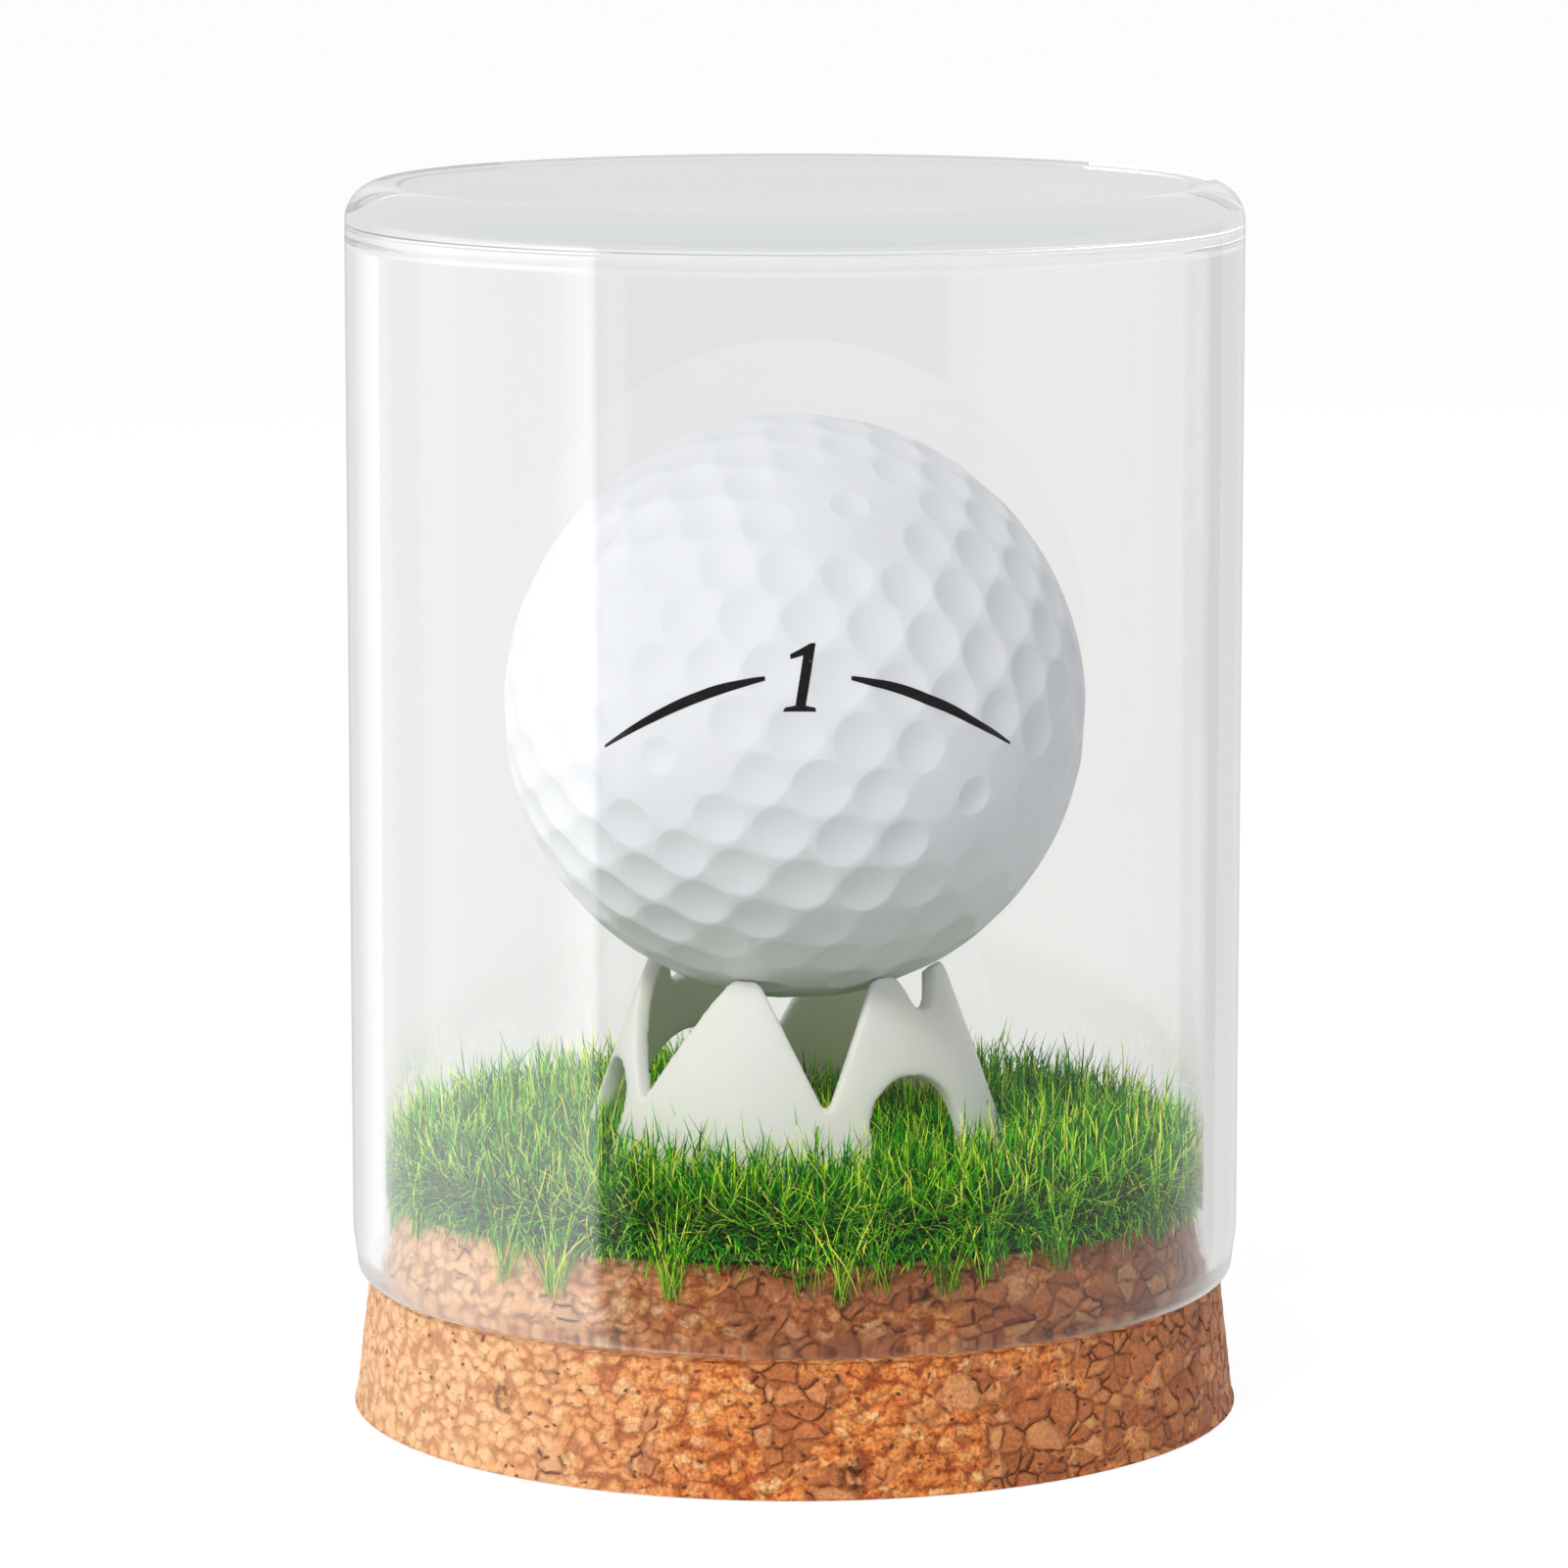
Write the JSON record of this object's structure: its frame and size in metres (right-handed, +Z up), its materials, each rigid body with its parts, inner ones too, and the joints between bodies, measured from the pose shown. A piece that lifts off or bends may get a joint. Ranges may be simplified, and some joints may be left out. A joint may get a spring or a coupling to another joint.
{
  "type": "golf ball display case",
  "caption": "Round glass dome that lifts off a stepped cork base, with a golf ball on a white crown stand in a disc of artificial turf.",
  "frame": {"origin": "centre of the cork base's underside, on the surface that it stands on", "axes": "+Z up along the dome's axis, -Y to the front, where the broad solid leg of the stand shows left of centre, +X to the viewer's right"},
  "size_m": [0.0654, 0.0654, 0.0903],
  "materials": {
    "glass": "clear, polished",
    "cork": "agglomerated cork, sanded",
    "adhesive": "satin",
    "latex": "matte",
    "backing_cloth": "woven",
    "thatch_yarn": "curled yarn",
    "grass_yarn": "cut blades",
    "stand_plastic": "satin white",
    "ball_cover": "painted gloss white",
    "ball_core": "matte"
  },
  "bodies": {
    "base": {"cork_base": "cork", "turf_glue": "adhesive", "turf_latex_backing": "latex", "turf_cloth_backing": "backing_cloth", "turf_thatch_ring": "thatch_yarn", "turf_thatch_patch": "thatch_yarn", "grass_ring": "grass_yarn", "grass_patch": "grass_yarn", "grass_fringe": "grass_yarn", "stand_foot_glue": "adhesive", "ball_stand": "stand_plastic"},
    "dome": {"glass_dome": "glass"},
    "ball": {"ball_cover": "ball_cover", "ball_core": "ball_core"}
  },
  "joints": [
    {"name": "dome_lift", "type": "slide", "parent": "base", "child": "dome", "axis": [0, 0, 1], "range_m": [0, 0.1]},
    {"name": "ball_lift", "type": "slide", "parent": "base", "child": "ball", "axis": [0, 0, 1], "range_m": [0, 0.013]}
  ]
}
